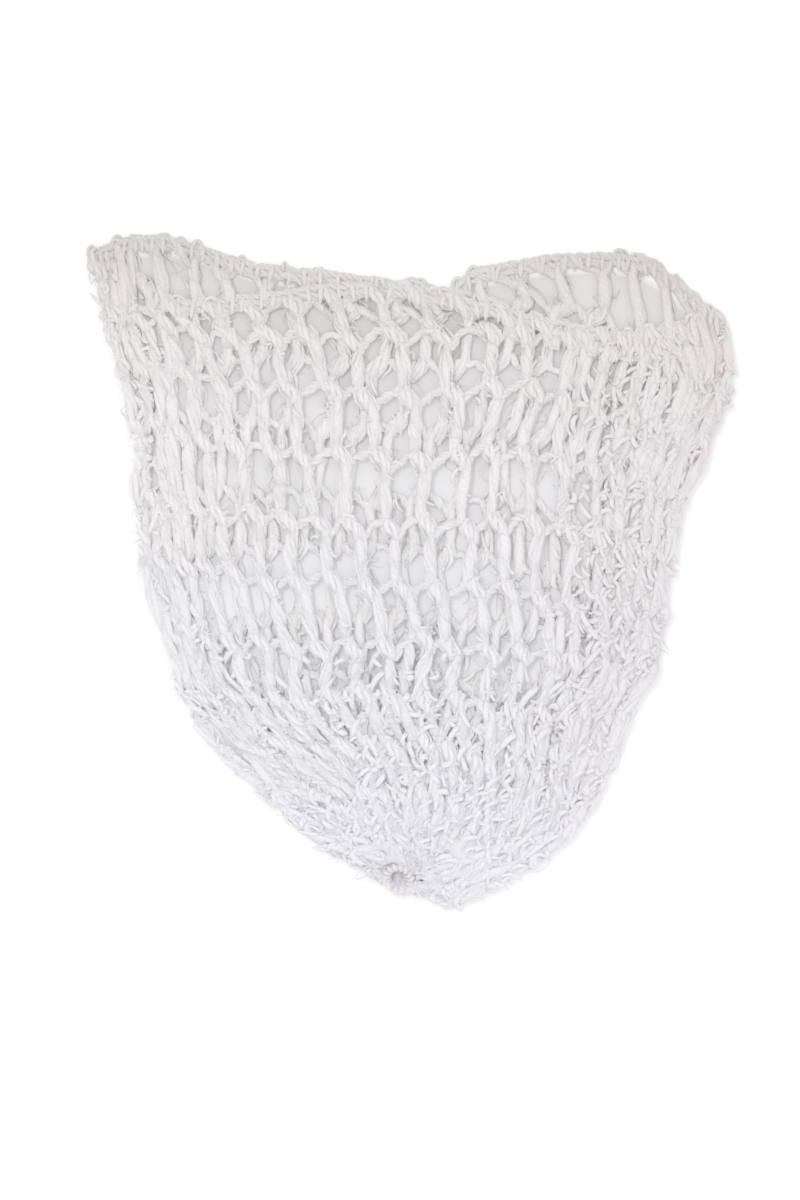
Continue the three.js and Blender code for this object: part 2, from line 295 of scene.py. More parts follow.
def strands(paths, radius=STRAND, closed=False, sides=SIDES):
    """Round yarn: a circle carried along each path (paths are n x steps x 3), which is lifted
    where it would sink below the table. Open ends are drawn in and capped. Returns vertices,
    faces of four, end caps and each corner's UV: part of the way round the strand, and
    millimetres along it."""
    paths = np.array(paths, float)
    count, steps = paths.shape[:2]
    radius = np.broadcast_to(np.asarray(radius, float), (count, steps)).copy()
    paths[..., 2] = np.maximum(paths[..., 2], radius)
    first, second = frames_along(paths, closed)
    if not closed:
        radius[:, [0, -1]] *= END_TAPER
    angle = 2 * np.pi * np.arange(sides) / sides
    circle = np.cos(angle)[:, None] * first[:, :, None] + np.sin(angle)[:, None] * second[:, :, None]
    vertices = paths[:, :, None] + radius[..., None, None] * circle
    gaps = np.linalg.norm(np.diff(paths, axis=1, append=paths[:, :1]), axis=-1)
    length = np.concatenate([np.zeros((count, 1)), np.cumsum(gaps, 1)], 1)
    n, k, j = np.meshgrid(np.arange(count), np.arange(steps if closed else steps - 1),
                          np.arange(sides), indexing="ij")
    k_next, j_next = (k + 1) % steps, (j + 1) % sides

    def index(k, j):
        return (n * steps + k) * sides + j

    quads = np.stack([index(k, j), index(k, j_next), index(k_next, j_next), index(k_next, j)], -1)
    start = length[n, k] + PLY_STAGGER * n
    end = length[n, k + 1] + PLY_STAGGER * n
    uv = np.stack([np.stack([j / sides, start], -1), np.stack([(j + 1) / sides, start], -1),
                   np.stack([(j + 1) / sides, end], -1), np.stack([j / sides, end], -1)], -2)
    caps = np.zeros((0, sides), int)
    if not closed:
        base = np.arange(count)[:, None] * steps * sides
        ring = np.arange(sides)
        caps = np.concatenate([base + ring[::-1], base + (steps - 1) * sides + ring])
    return vertices.reshape(-1, 3), quads.reshape(-1, 4), caps, uv.reshape(-1, 2)


def yarn_piece(name, parts, material):
    """Joins strands into one mesh in the shared frame and hangs it on the body."""
    offsets = np.cumsum([0] + [len(part[0]) for part in parts])
    vertices = (np.concatenate([part[0] for part in parts]) + SHIFT) * MM
    quads = np.concatenate([part[1] + offset for part, offset in zip(parts, offsets)])
    caps = [part[2] + offset for part, offset in zip(parts, offsets)]
    corners = np.concatenate([quads.ravel(), *[cap.ravel() for cap in caps]])
    sizes = np.concatenate([np.full(len(quads), 4), *[np.full(len(cap), cap.shape[1]) for cap in caps]])
    uv = np.concatenate([*[part[3] for part in parts], np.zeros((sum(cap.size for cap in caps), 2))])
    mesh = bpy.data.meshes.new(name)
    mesh.vertices.add(len(vertices))
    mesh.vertices.foreach_set("co", vertices.ravel())
    mesh.loops.add(len(corners))
    mesh.loops.foreach_set("vertex_index", corners)
    mesh.polygons.add(len(sizes))
    mesh.polygons.foreach_set("loop_start", np.cumsum(sizes) - sizes)
    mesh.update(calc_edges=True)
    mesh.uv_layers.new(name="yarn").data.foreach_set("uv", uv.ravel())
    mesh.shade_smooth()
    mesh.materials.append(material)
    piece = bpy.data.objects.new(name, mesh)
    bpy.context.scene.collection.objects.link(piece)
    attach(piece, "root")
    return piece


# ---- where the stitches are ----
KNOT_TALL = 4.0           # half the height of a stitch's head
KNOT_WIDE = 2.9           # half its width
COLUMN_STEP = 0.16        # part of a mesh that a column steps aside at a knot
SAW_WAVES = (1, 1.0), (2, 0.5), (3, 0.22)   # waves in a tooth, and how high each is
SAW_HIGH = 1.45
TOUCHING_ROUNDS = 5.6, 3  # the net closes up between these rounds
TOUCHING_LEFT = 0.08, 0.03        # and between these places from the left fold,
LEFT_CLOSENESS = 0.6              # but only so far,
TOUCHING_RIGHT = 0.35, 0.43       # before the right fold on top
TOUCHING_UNDER = 0.56, 0.52       # and after it underneath
A_TURN = 6.3              # radians, near enough


def around_of(post, at_round):
    """Where a stitch's column crosses a round. The columns wind slowly round the bag, and faster
    near the start ring: TURNED is how many meshes from where they meet the rim."""
    return (post + POST_PHASE + curve_through(TURNED, at_round)) / POSTS


def strays(reach, rng):
    """How far each stitch strays, a row for each round and the first stitch again at the end. The
    start ring's stitches stay in place."""
    stray = reach * rng.uniform(-1, 1, (ROUNDS + 1, POSTS + 1))
    stray[:, POSTS] = stray[:, 0]
    stray[0] = 0
    return stray


stray_rng = np.random.default_rng(SEED)
STRAY_SIDE = strays(LOOSENESS, stray_rng)
STRAY_UP = strays(SAG, stray_rng)


def columns(at_round):
    """The stitches that a round's columns are set at, and how many of them a mesh spans."""
    span = POSTS_JOINED.get(at_round, 1)
    return np.arange(0, POSTS, span), span


def spacing(at_round, posts, span):
    """Millimetres from each stitch of a round to the next."""
    level = np.full(len(posts), float(at_round))
    here = net_point(around_of(posts, level), level)
    there = net_point(around_of(posts + span, level), level)
    return np.linalg.norm(there - here, axis=-1)


def closeness(around, at_round):
    """How far the net is drawn together, from 0, open, to 1, where its stitches touch: in the
    first rounds, along the left fold, and in a wider strip on top of the right fold."""
    turn = np.mod(around, 1)
    left = LEFT_CLOSENESS * smooth_step(*TOUCHING_LEFT, np.minimum(turn, 1 - turn))
    right = np.where(turn < 0.5, smooth_step(*TOUCHING_RIGHT, turn), smooth_step(*TOUCHING_UNDER, turn))
    return np.maximum(np.maximum(left, right), smooth_step(*TOUCHING_ROUNDS, at_round))


def saw(f):
    """A smooth saw-tooth with one tooth in 0..1: it climbs steeply through 0 at f = 0 and
    falls slowly. Three sines."""
    return sum(high * np.sin(2 * np.pi * k * f) for k, high in SAW_WAVES) / SAW_HIGH


def saw_slope(f):
    """How fast saw rises with f: three cosines."""
    return 2 * np.pi * sum(k * high * np.cos(2 * np.pi * k * f) for k, high in SAW_WAVES) / SAW_HIGH


def wander(t, shape, rng, waves=3):
    """A smooth random line through about 0: sines of 1, 2, ... half waves, each half as high as
    the one before."""
    total = 0
    for k in range(1, waves + 1):
        high = rng.normal(0, 1, shape)
        total = total + high * np.sin(np.pi * k * t + rng.uniform(0, A_TURN, shape)) / 2 ** k
    return total


def uneven(t, shape, rng, amount, least, most, waves):
    """1 and a wandering line times amount, held between least and most: a strand's thickness."""
    return np.clip(1 + amount * wander(t, shape, rng, waves), least, most)


# ---- upright stitches ----
POST_STRANDS = 5
POST_STEPS = 12
POST_TURNS = 0.35, 1.15   # a strand winds round its bundle so many times
WOUND_RIGHT = 0.8         # part of the bundles that wind to the right
POST_SPREAD = 2.05        # the strands' distance from the stitch's middle, halfway up
POST_SPREAD_VARIES = 0.75, 1.2
POST_DEEP = 0.75          # a bundle's depth is this part of its width
POST_FORWARD = 1.1        # its top comes so far forward, and its foot goes as far back
POST_BOWED = -0.3, 1.5    # its middle is bowed aside
POST_THICK = 0.7, 1.15    # how thick its strands are
STRAND_UNEVEN = 0.45, 0.5, 1.6, 7     # what uneven is given for a strand
CORE_UNEVEN = 0.3, 0.7, 1.35, 5       # and for a core
POST_CORE = 2.2           # half the thickness of the soft core that they wind round
CORE_END = 0.55           # the core's ends are this part as thick
CROWDED = 5.2             # stitches nearer to each other than this are thinner
MOST_CROWDED = 0.62       # but never thinner than this part
OVERLAP = 3.4             # how far the strands run on past the knots at their ends
OVERLAP_VARIES = 0.3
START_OVERLAP = 0.1       # only this part of it at the start ring, which stays clear
BETWEEN_STRANDS = 3
BETWEEN_STEPS = 10
BETWEEN_DEEP = 1.5        # how far the bundles between the columns lie under them


def stray_along(stray, at_round, first, after, t):
    """How far a column strays: straight from the knots below it, t = 0, to those above, t = 1."""
    below, above = (((stray[r, first] + stray[r, after]) / 2)[:, None, None]
                    for r in (at_round - 1, at_round))
    return below + t * (above - below)


def upright_stitches(at_round, rng, between=False):
    """A loose bundle of strands a stitch. It starts behind the knot below, runs up the column and
    ends in front of the knot above. The column climbs steadily between knots and steps aside at
    each, and every strand winds round the bundle's middle at its own rate. Between two columns,
    where the net is close, a slacker bundle lies a little deeper."""
    first, span = columns(at_round)
    posts = after = first
    count, steps = POST_STRANDS, POST_STEPS
    if between:
        halfway = around_of(first + span / 2, at_round - 0.5)
        first = first[rng.random(len(first)) < closeness(halfway, at_round)]
        posts, after = first + span / 2, first + span
        count, steps = BETWEEN_STRANDS, BETWEEN_STEPS
    strand = np.arange(count)[None, :, None]
    each, every = (len(posts), 1, 1), (len(posts), count, 1)
    t = np.linspace(0, 1, steps)[None, None, :]
    middle, ends = np.sin(np.pi * t), 2 * t - 1
    wide = spacing(at_round - 0.5, posts, span)[:, None, None]
    crowd = np.clip(wide / CROWDED, MOST_CROWDED, 1)
    turns = rng.uniform(*POST_TURNS, every) * np.where(rng.random(each) < WOUND_RIGHT, 1, -1) / crowd
    turn = 2 * np.pi * (turns * t + strand / count + rng.random(each)) + 0.5 * wander(t, every, rng)
    spread = POST_SPREAD * crowd * (0.5 + 0.5 * middle) * rng.uniform(*POST_SPREAD_VARIES, every)
    side = (stray_along(STRAY_SIDE, at_round, first, after, t) - COLUMN_STEP * wide * saw(t)
            - rng.uniform(*POST_BOWED, each) * middle + spread * np.cos(turn)
            + 0.3 * wander(t, every, rng))
    overlap = OVERLAP * np.where((t < 0.5) & (at_round == 1), START_OVERLAP, 1)
    up = (stray_along(STRAY_UP, at_round, first, after, t) + overlap * ends ** 3
          + OVERLAP_VARIES * overlap * rng.uniform(-1, 1, every) * ends ** 2)
    out = POST_FORWARD * ends ** 3 + POST_DEEP * spread * np.sin(turn) + 0.2 * wander(t, every, rng)
    if between:
        out = out - BETWEEN_DEEP
    level = at_round - 1 + t
    paths = place(around_of(posts[:, None, None], level), level, side, up, out)
    thick = STRAND * crowd * rng.uniform(*POST_THICK, every) * uneven(t, every, rng, *STRAND_UNEVEN)
    core = POST_CORE * (crowd * uneven(t, each, rng, *CORE_UNEVEN))[:, 0]
    return [strands(paths.reshape(-1, steps, 3), thick.reshape(-1, steps)),
            strands(smoothed(paths.mean(1)), core * (CORE_END + (1 - CORE_END) * middle[0]), sides=6)]


def smoothed(paths):
    """Each place moved to the mean of itself and its neighbours, twice; ends stay."""
    for _ in range(2):
        paths = paths.copy()
        paths[:, 1:-1] = (paths[:, :-2] + paths[:, 1:-1] + paths[:, 2:]) / 3
    return paths


# ---- chains and heads ----
ARCH_TALL = 5.0           # half the climb of the chain across a mesh
ARCH_WIDE = 10.0          # less where the mesh is narrower than this
ARCH_BOW = 2.4            # and the arch may bow up by so much more
CHAIN_STRANDS = 3
HALF_CHAINS = 4           # the first rounds have a second chain halfway up their stitches
CHAIN_TURNS = 1.2, 2.2    # a strand winds round its chain so many times a mesh
CHAIN_SPREAD = 1.3        # the strands' distance from the chain's middle
CHAIN_WIDE = 9.0          # less where the mesh is narrower than this
CHAIN_DEEP = 0.8          # the chain's depth is this part of its width
CHAIN_FORWARD = 0.5       # how far it stands forward over each head, and back across each mesh
CHAIN_CORE = 1.5          # half the thickness of its core,
CHAIN_LUMPY = 0.12        # and how lumpy it is
CHAIN_STEP = 2.2          # millimetres from one place worked out on a chain to the next
CHAIN_CLIMB = 2.4         # a knot lengthens the chain by so many times KNOT_TALL
FEWEST_STEPS = 6
HEAD_STRANDS = 3
HEAD_STEPS = 9
HEAD_STRAND = 1.1         # half the thickness of a head's strands
HEAD_REACH = 0.9, 1.35    # how long they are, in lengths of the head
HEAD_TURNS = 0.5, 1.1     # and how many times they wind round each other
HEAD_TWIST = 1.15         # how far they stand off the head's middle to the sides,
HEAD_TWIST_UP = 0.5       # up and down,
HEAD_TWIST_OUT = 0.8      # and off the bag
HEAD_FORWARD = 2.5        # how far a head's middle stands forward of its ends,
HEAD_TUCKED = 0.4         # which lie so far back
HEAD_TURN = 2.4           # how steeply a head crosses over at its middle
HEAD_WIDE = 10.0          # heads are smaller where stitches are nearer to each other than this
LEAST_HEAD = 0.65         # but never smaller than this part


def chain_round(at_round, rng, below=0.0):
    """The strands along the top of a round, or below it, each a closed line. Their middle is a
    saw-tooth: steeply down over each stitch's head and slowly up across each mesh."""
    posts, span = columns(at_round)
    wide = spacing(at_round, posts, span)
    steps = np.maximum(np.rint((wide + CHAIN_CLIMB * KNOT_TALL) / CHAIN_STEP), FEWEST_STEPS).astype(int)
    mesh = np.repeat(np.arange(len(posts)), steps)
    f = np.concatenate([np.arange(s) / s for s in steps])
    width = wide[mesh]
    tall = ARCH_TALL * np.minimum(1, width / ARCH_WIDE)
    slope = -tall * saw_slope(f) / width
    run, climb = 1 / np.hypot(1, slope), slope / np.hypot(1, slope)
    start, end = posts[mesh], posts[mesh] + span
    ease = smooth_step(0, 1, f)
    stray_side, stray_up = (stray[at_round, start] + ease * (stray[at_round, end] - stray[at_round, start])
                            for stray in (STRAY_SIDE, STRAY_UP))
    whole = np.arange(len(f)) / len(f)
    bow = np.repeat(rng.uniform(0, ARCH_BOW, len(posts)), steps) * np.sin(np.pi * f) ** 2
    paths = []
    for strand in range(CHAIN_STRANDS):
        turns = np.rint(len(posts) * rng.uniform(*CHAIN_TURNS))
        waves = np.rint(len(posts) / 3 * rng.uniform(1, 2))
        turn = (2 * np.pi * (turns * whole + strand / CHAIN_STRANDS)
                + 0.8 * np.sin(2 * np.pi * waves * whole))
        swing = CHAIN_SPREAD * np.minimum(1, width / CHAIN_WIDE) * np.cos(turn)
        side = stray_side - swing * climb
        up = stray_up - tall * saw(f) + bow + swing * run
        out = CHAIN_FORWARD * np.cos(2 * np.pi * f) + CHAIN_DEEP * CHAIN_SPREAD * np.sin(turn)
        paths.append(place(around_of(start + span * f, at_round - below), at_round - below, side, up, out))
    lumps = np.clip(1 + CHAIN_LUMPY * rng.normal(0, 1, (1, len(f))), 0.8, 1.3)
    lumps = (np.roll(lumps, 1) + lumps + np.roll(lumps, -1)) / 3
    return [strands(np.stack(paths), 0.95 * STRAND, closed=True),
            strands(np.mean(paths, 0)[None], CHAIN_CORE * lumps, closed=True)]


def stitch_heads(at_round, rng):
    """Three strands twisted round each other across the front of each stitch's head, from its
    upper left to its lower right, and into the stitches above and below."""
    posts, span = columns(at_round)
    every = (len(posts), HEAD_STRANDS, 1)
    strand = np.arange(HEAD_STRANDS)[None, :, None]
    t = np.linspace(0, 1, HEAD_STEPS)[None, None, :]
    small = np.clip(spacing(at_round, posts, span) / HEAD_WIDE, LEAST_HEAD, 1)[:, None, None]
    reach = small * rng.uniform(*HEAD_REACH, every)
    turns = rng.uniform(*HEAD_TURNS, every)
    turn = 2 * np.pi * (turns * t + strand / HEAD_STRANDS + rng.random((len(posts), 1, 1)))
    side = (STRAY_SIDE[at_round, posts][:, None, None] + small * HEAD_TWIST * np.cos(turn)
            + reach * KNOT_WIDE * np.tanh(HEAD_TURN * (t - 0.5)))
    up = (STRAY_UP[at_round, posts][:, None, None] + reach * KNOT_TALL * (1 - 2 * t)
          + small * HEAD_TWIST_UP * np.cos(turn))
    out = HEAD_FORWARD * np.sin(np.pi * t) - HEAD_TUCKED + HEAD_TWIST_OUT * small * np.sin(turn)
    paths = place(around_of(posts, at_round)[:, None, None], float(at_round), side, up, out)
    return strands(paths.reshape(-1, HEAD_STEPS, 3), HEAD_STRAND)


# ---- curls and loose fibres ----
CURLS = 520               # curls of yarn a round, if it is close all round
CURLS_AT_RIGHT = 0.16     # part of them that is set at the right fold
RIGHT_STRIP = 0.34, 0.54  # which is here, around the bag
CURLS_ON_STITCHES = 150   # and smaller ones along its stitches
CURL_STEPS = 6
CURL_BEND = 3.6           # radians that the most bent curl turns through
CURL_HEADING = 0.1, 1.4   # radians between a curl and its column
CURL_OUT = -1.6, 1.4      # how far curls stand off the bag,
CURL_TUCKED = 0.8         # their ends so much less
CURL_LIFT = 2.6           # and their middles so much more than the ends
FILLING_REACH = 4, 8.5    # how long the filling curls are, and how thick
FILLING_THICK = 0.75, 1.35
STITCH_CURL_REACH = 3, 6.5
STITCH_CURL_THICK = 0.35, 0.7
LOWEST_CURL = 0.55        # no filling curl is set nearer to the start ring than this part of a round
WISPS = 190               # loose fibres a round
WISP_STEPS = 6
WISP = 0.24               # half their thickness
WISP_LENGTH = 4, 13
WISP_HEADING = 0.8        # radians that most of them stray from their column
WISP_BOW = 2.2            # how far most of them bow aside
WISP_SIDE = -2.6, 2.2     # where they lie across their column,
WISP_OUT = -1.2, 2.4      # and how far off the bag
WISP_ENDS_OUT = -1, 1.5   # their ends so much further


def curls(around, level, reach, thick, rng):
    """Short half loops of yarn: each bends to one side through part of a circle, with its ends
    tucked under and its middle lifted off the bag."""
    one = (len(around), 1)
    t = np.linspace(0, 1, CURL_STEPS)[None]
    middle = np.sin(np.pi * t)
    heading = rng.choice([-1, 1], one) * rng.uniform(*CURL_HEADING, one)
    bend = CURL_BEND * rng.uniform(0.4, 1, one) * rng.choice([-1, 1], one)
    angle = heading + bend * (t - 0.5)
    side = reach * (np.sin(angle) - np.sin(heading)) / np.abs(bend) + 0.5 * wander(t, one, rng)
    up = (reach * ((t - 0.5) * np.cos(heading) + (np.cos(angle) - np.cos(heading)) / bend)
          + 0.5 * wander(t, one, rng))
    out = rng.uniform(*CURL_OUT, one) + CURL_LIFT * middle - CURL_TUCKED
    paths = place(around, np.clip(level, 0.2, ROUNDS), side, up, out)
    return strands(paths, thick * (0.85 + 0.15 * middle), sides=4)


def filling_curls(at_round, rng):
    """Curls where the net is close, the closer the more, and most at the right fold."""
    one = (CURLS, 1)
    at_right = rng.random(one) < CURLS_AT_RIGHT
    around = np.where(at_right, rng.uniform(*RIGHT_STRIP, one), rng.random(one))
    level = np.maximum(at_round - rng.random(one), LOWEST_CURL)
    kept = rng.random(one) < closeness(around, level)
    around, level = around[kept][:, None], level[kept][:, None]
    reach = rng.uniform(*FILLING_REACH, around.shape)
    thick = STRAND * rng.uniform(*FILLING_THICK, around.shape)
    return curls(around, level, reach, thick, rng)


def stitch_curls(at_round, rng):
    """Smaller curls that stand off the columns all the way up."""
    one = (CURLS_ON_STITCHES, 1)
    level = at_round - rng.random(one)
    around = around_of(rng.integers(0, POSTS, one) + rng.normal(0, 0.13, one), level)
    reach = rng.uniform(*STITCH_CURL_REACH, one)
    thick = STRAND * rng.uniform(*STITCH_CURL_THICK, one)
    return curls(around, level, reach, thick, rng)


def loose_fibres(at_round, rng):
    """Fine fibres that have come loose. Each leaves a stitch anywhere along it and wanders off
    mostly along the column, in a bow, its ends lifting off the bag."""
    one = (WISPS, 1)
    t = np.linspace(0, 1, WISP_STEPS)[None]
    post = rng.integers(0, POSTS, one)
    level = at_round - rng.random(one)
    heading = rng.normal(0, WISP_HEADING, one)
    length = rng.uniform(*WISP_LENGTH, one)
    bow = rng.normal(0, WISP_BOW, one) * np.sin(np.pi * t)
    side = (rng.uniform(*WISP_SIDE, one) + length * np.sin(heading) * (t - 0.5)
            + bow * np.cos(heading) + 0.9 * wander(t, one, rng))
    up = length * np.cos(heading) * (t - 0.5) - bow * np.sin(heading) + 0.9 * wander(t, one, rng)
    out = rng.uniform(*WISP_OUT, one) + rng.uniform(*WISP_ENDS_OUT, one) * (2 * t - 1) ** 2
    level = np.clip(level, 0.15, ROUNDS)
    paths = place(around_of(post, level), level, side, up, out)
    return strands(paths, WISP * rng.uniform(0.7, 1.3, one), sides=3)


# ---- rim and start ring ----
RIM_STITCHES = 96
RIM_STEPS = 10            # places worked out for each
RIM_BELOW = 0.6           # the stitches start so far below the rim's foot,
RIM_SHORTER = 0.1         # are so much less tall than the rim
RIM_PROUD = 0.2           # and stand so far off its faces
RIM_LEAN = 1.2            # how far most of them lean to each side of their middles
LOW_CORD_UP = 1.2         # the low cord lies this far above the rim's foot
HIGH_CORD_DOWN = 1.5      # and the high one this far under its top
LOW_CORD_THICK = 1.3
HIGH_CORD_THICK = 1.25
CORD_STRANDS = 3
CORD_TURNS = 50, 80       # a strand winds round its cord so many times
CORD_RIPPLES = 23, 41, 67, 97     # waves round the mouth that make the cord's core lumpy
EDGE_LOOPS = 70
LOOP_TALL = 1.6, 4.0
LOOP_WIDE = 1.2, 3.2      # half their width
LOOP_FOOT = 1.6           # their ends lie so much lower than RIM_HEIGHT
LOOPS_AT_RIGHT = 0.5      # part of them that is set about the right fold
RING_COILS = 14           # turns of yarn round the start ring
COIL_STEPS = 10           # places worked out for each


def rim_cord(low, thick, rng):
    """A soft cord round the mouth: three strands, each a closed helix with its own number of
    turns, round a lumpy core. It lies low mm above the last round."""
    count = RIM_STITCHES * RIM_STEPS // 2
    f = np.arange(count) / count
    paths = []
    for strand in range(CORD_STRANDS):
        turns = rng.integers(*CORD_TURNS)
        waves = rng.integers(20, 40)
        turn = 2 * np.pi * (turns * f + strand / CORD_STRANDS) + 0.7 * np.sin(2 * np.pi * waves * f)
        paths.append(place(f, float(ROUNDS), 0.0, low + thick * np.cos(turn), 0.85 * thick * np.sin(turn)))
    ripple = sum(np.sin(2 * np.pi * (k * f + rng.random())) for k in CORD_RIPPLES) / len(CORD_RIPPLES)
    middle = place(f, float(ROUNDS), 0.0, low + 0.5 * ripple, 0.3 * ripple)
    return [strands(np.stack(paths), 0.85 * STRAND, closed=True),
            strands(middle[None], thick * (1 + 0.25 * ripple[None]), closed=True)]


def rim_stitches(rng):
    """Close stitches over the rim: each comes up in front, leans over the top and goes down
    behind, half an ellipse as tall as the rim."""
    one = (RIM_STITCHES, 1)
    t = np.linspace(0, 1, RIM_STEPS)[None]
    around = (np.arange(RIM_STITCHES)[:, None] + rng.uniform(-0.3, 0.3, one)) / RIM_STITCHES
    turn = np.pi * (1.15 * t - 0.08)
    lean = rng.normal(RIM_LEAN, 1.0, one)
    side = lean * (2 * t - 1) + 0.5 * wander(t, one, rng)
    tall = RIM_HEIGHT - RIM_SHORTER + 0.5 * rng.normal(0, 1, one)
    up = RIM_GAP - RIM_BELOW + tall * np.sin(turn)
    out = (RIM_THICKNESS / 2 + RIM_PROUD) * np.cos(turn) + 0.2 * wander(t, one, rng)
    return strands(place(around, float(ROUNDS), side, up, out), STRAND * rng.uniform(0.75, 1.2, one))


def edge_loops(rng):
    """Small loose loops along the mouth's edge, half circles stretched up. Most of them are at
    the right fold."""
    one = (EDGE_LOOPS, 1)
    t = np.linspace(0, 1, RIM_STEPS)[None]
    at_right = rng.random(one) < LOOPS_AT_RIGHT
    around = np.where(at_right, 0.5 + 0.05 * rng.normal(0, 1, one), rng.random(one))
    tall = rng.uniform(*LOOP_TALL, one)
    wide = rng.uniform(*LOOP_WIDE, one)
    side = -wide * np.cos(np.pi * t) * (0.75 + 0.25 * np.sin(np.pi * t)) + 0.6 * wander(t, one, rng)
    up = RIM_HEIGHT - LOOP_FOOT + tall * np.sin(np.pi * t) + 0.4 * wander(t, one, rng)
    out = rng.normal(0, 1, one) + 0.8 * np.sin(np.pi * t)
    return strands(place(around, float(ROUNDS), side, up, out), STRAND * rng.uniform(0.6, 1.0, one))


def rim_edging(rng):
    """A cord at the foot of the rim and one at its top, the close stitches and the loose loops."""
    foot = RIM_GAP + LOW_CORD_UP
    top = RIM_GAP + RIM_HEIGHT - HIGH_CORD_DOWN
    return [*rim_cord(foot, LOW_CORD_THICK, rng), *rim_cord(top, HIGH_CORD_THICK, rng),
            rim_stitches(rng), edge_loops(rng)]


def start_ring():
    """The core is a circle of yarn, and the ring's stitches wind round it: a helix bent into a
    ring."""
    k = np.arange(RING_COILS * COIL_STEPS)
    f = 2 * np.pi * k / len(k)
    turn = RING_COILS * f
    out_of = np.cos(f)[:, None] * RING_SIDEWAYS + np.sin(f)[:, None] * RING_INWARDS
    wound = RING_CORD - 0.7 * STRAND
    coil = (RING_CENTRE + (RING_RADIUS + wound * np.cos(turn))[:, None] * out_of
            + (wound * np.sin(turn))[:, None] * RING_FACE)
    core = RING_CENTRE + RING_RADIUS * out_of[::4]
    return [strands(coil[None], 0.8 * STRAND, closed=True), strands(core[None], STRAND, closed=True)]


# ---- finish ----
THROUGH = 0.25            # part of the light that goes through a strand
PLIES = 3.0               # in a strand
PLY_LENGTH = 2.6          # millimetres along a strand from one ply to the next
PLY_HIGH = 0.6            # how much plies, fibres and tufts each raise the surface
FIBRE_HIGH = 0.6
TUFT_HIGH = 1.6
PLY_LIGHT = 0.6           # how much the plies' painted light and the random patches each lighten the cotton
PATCH_LIGHT = 0.5
FIBRE_SCALE = 2600        # about how many of each there are in a metre
TUFT_SCALE = 950
PATCH_SCALE = 90
# Painted light and shade: the white cotton is drawn cool and pale at the start ring, and painted shade
# darkens and warms it towards the mouth
NET_TONES_WITH_PAINTED_SHADE = (             # the cotton's colour with painted light and shade, at parts of the way from the start ring to the mouth
    (0, 0.91, 0.915, 0.985),
    (0.4, 0.87, 0.87, 0.905),
    (0.68, 0.86, 0.84, 0.84),
    (0.85, 0.8, 0.77, 0.755),
    (1, 0.58, 0.55, 0.52),
)
# the rim's cotton is the net's with a little more painted shade
RIM_PAINTED_SHADE = 0.96
RING_TONE = 0.86, 0.85, 0.89
BAG_ENDS = -0.135, 0.135  # the ring's end and the mouth, in metres up the table
# Painted shade, rosy, on the right side, away from the lamp
ROSY_RIGHT_SHADE = 0.895, 0.86, 0.86, 1
RIGHT_SHADE_FROM = 0.035, 0.12   # metres to the right over which the painted shade comes in
# Painted light: the under layer, near the table and below the mouth, is drawn near-white to lift its shade
UNDER_LAYER_PAINTED_LIGHT = 0.99, 0.985, 0.98, 1
PAINTED_LIGHT_HEIGHTS = 0.0048, 0.002      # metres above the table,
PAINTED_LIGHT_REACH = 0.11, 0.06         # and metres up it
# Painted shade in the furrows between the plies; the same darkening, where the patch noise is low, makes
# random darker patches
FURROW_SHADE_AND_PATCH_TONE = 0.94, 0.9, 0.89, 1
# Painted shade in and round the start ring's hole
RING_HOLE_PAINTED_SHADE = 0.66, 0.6, 0.65, 1
RING_SHADE_WITHIN = 0.0065, 0.0025     # metres from the start ring's middle


class Finish:
    """A material and its nodes. add gives back the node that it adds, and the ways after it what
    comes out of theirs."""

    def __init__(self, name):
        self.material = bpy.data.materials.new(name)
        self.material.use_nodes = True
        self.nodes = self.material.node_tree.nodes
        self.links = self.material.node_tree.links
        self.shader = self.nodes["Principled BSDF"]

    def feed(self, socket, value):
        """Links an output to the socket, or sets the socket to a number or a colour."""
        if isinstance(value, bpy.types.NodeSocket):
            self.links.new(value, socket)
        else:
            socket.default_value = value

    def add(self, kind, fed=(), **settings):
        made = self.nodes.new(kind)
        for name, value in settings.items():
            setattr(made, name, value)
        for name, value in dict(fed).items():
            self.feed(made.inputs[name], value)
        return made

    def maths(self, operation, *values):
        made = self.add("ShaderNodeMath", operation=operation)
        for socket, value in zip(made.inputs, values):
            self.feed(socket, value)
        return made.outputs[0]

    def noise(self, where, scale, detail=2):
        made = self.add("ShaderNodeTexNoise", {"Vector": where, "Scale": scale, "Detail": detail})
        return made.outputs[0]

    def spread(self, source, none, full):
        """0 where the source is none, 1 where it is full, and straight between."""
        made = self.add("ShaderNodeMapRange", {"Value": source, "From Min": none, "From Max": full})
        return made.outputs[0]

    def mix(self, first, second, share, blend="MIX"):
        """The first colour drawn towards the second, or towards both multiplied, by a share."""
        made = self.add("ShaderNodeMix", {"A": first, "B": second, "Factor": share},
                        data_type="RGBA", blend_type=blend)
        return made.outputs["Result"]

    def split(self, source):
        return self.add("ShaderNodeSeparateXYZ", {"Vector": source}).outputs


def ply_height(finish):
    """0 in the furrows and 1 on the plies: |sin| of half a turn a ply, round the strand and
    along it."""
    uv = finish.split(finish.add("ShaderNodeUVMap", uv_map="yarn").outputs[0])
    turn = finish.maths("ADD", finish.maths("MULTIPLY", uv["X"], PLIES),
                        finish.maths("MULTIPLY", uv["Y"], 1 / PLY_LENGTH))
    return finish.maths("ABSOLUTE", finish.maths("SINE", finish.maths("MULTIPLY", turn, np.pi)))


def cotton_bump(finish, where, ply):
    """Plies, fine fibres and tufts, one on another."""
    fibre = finish.noise(where, FIBRE_SCALE, detail=3)
    tufts = finish.noise(where, TUFT_SCALE)
    height = finish.maths("ADD", finish.maths("MULTIPLY", ply, PLY_HIGH),
                          finish.maths("MULTIPLY", fibre, FIBRE_HIGH))
    height = finish.maths("ADD", height, finish.maths("MULTIPLY", tufts, TUFT_HIGH))
    return finish.add("ShaderNodeBump", {"Strength": 0.7, "Distance": 0.0004, "Height": height}).outputs[0]


